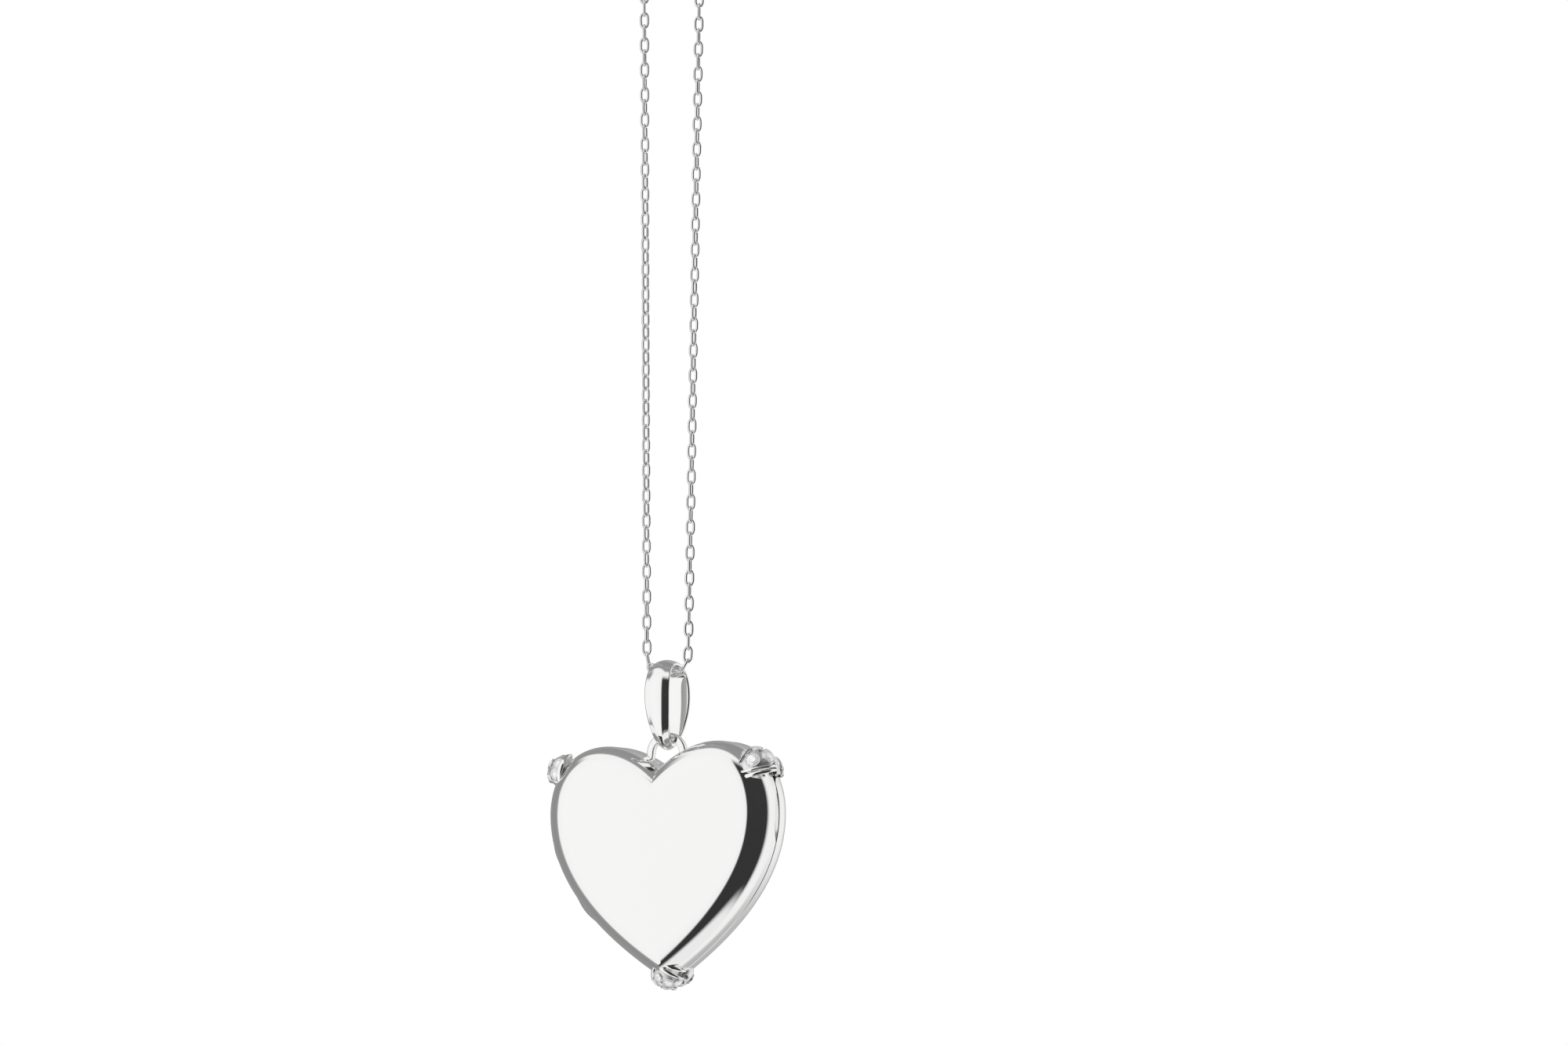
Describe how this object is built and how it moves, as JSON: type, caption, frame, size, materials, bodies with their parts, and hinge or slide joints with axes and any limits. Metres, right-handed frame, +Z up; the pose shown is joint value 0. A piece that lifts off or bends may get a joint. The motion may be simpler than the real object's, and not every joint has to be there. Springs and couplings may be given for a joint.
{
  "type": "heart locket pendant",
  "caption": "Polished heart locket with pave-set corner clusters, a side hinge and picture pockets inside, hung by a tapered bail from a fine cable chain.",
  "frame": {"origin": "hanging point, at the inside of the top of the clasp's spring ring", "axes": "+Z up along the hanging chain, +X to the right seen from the front, front face of the heart towards -Y"},
  "size_m": [0.0209, 0.0065, 0.094],
  "materials": {
    "polished_silver": "high polish",
    "photo_paper": "semi-gloss print",
    "clear_stone": "faceted"
  },
  "bodies": {
    "chain": {"chain": "polished_silver", "clasp_ring": "polished_silver", "clasp_spring": "polished_silver", "jump_ring": "polished_silver", "end_ring": "polished_silver"},
    "clasp_bolt": {"clasp_bolt": "polished_silver"},
    "bail": {"bail": "polished_silver"},
    "locket_back": {"back_shell": "polished_silver", "back_inner_plate": "polished_silver", "back_photo": "photo_paper", "back_knuckles": "polished_silver", "back_right_setting": "polished_silver", "back_right_ribbon": "polished_silver", "back_left_setting": "polished_silver", "back_tip_setting": "polished_silver", "back_stones": "clear_stone", "hinge_pin": "polished_silver", "top_loop": "polished_silver"},
    "locket_front": {"front_shell": "polished_silver", "front_inner_plate": "polished_silver", "front_photo": "photo_paper", "front_knuckle": "polished_silver", "front_right_setting": "polished_silver", "front_right_ribbon": "polished_silver", "front_right_stones": "clear_stone", "front_left_setting": "polished_silver", "front_left_ribbon": "polished_silver", "front_left_stones": "clear_stone", "front_tip_setting": "polished_silver", "front_tip_ribbon": "polished_silver", "front_tip_stones": "clear_stone"}
  },
  "joints": [
    {"name": "bolt_slide", "type": "hinge", "parent": "chain", "child": "clasp_bolt", "pos_m": [0, 0, -0.00225], "axis": [0, -1, 0], "range_deg": [0, 35], "stiffness_Nm_per_rad": 0.002, "springref_deg": -5.73},
    {"name": "bail_swing", "type": "hinge", "parent": "chain", "child": "bail", "pos_m": [0, 0, -0.06552], "axis": [1, 0, 0], "range_deg": [-60, 60]},
    {"name": "locket_sway", "type": "hinge", "parent": "bail", "child": "locket_back", "pos_m": [0, 0, -0.07229], "axis": [0, 1, 0], "range_deg": [-30, 30]},
    {"name": "cover_open", "type": "hinge", "parent": "locket_back", "child": "locket_front", "pos_m": [-0.00826, -0.00035, -0.08291], "axis": [0.4923, 0, -0.8704], "range_deg": [0, 110]}
  ]
}
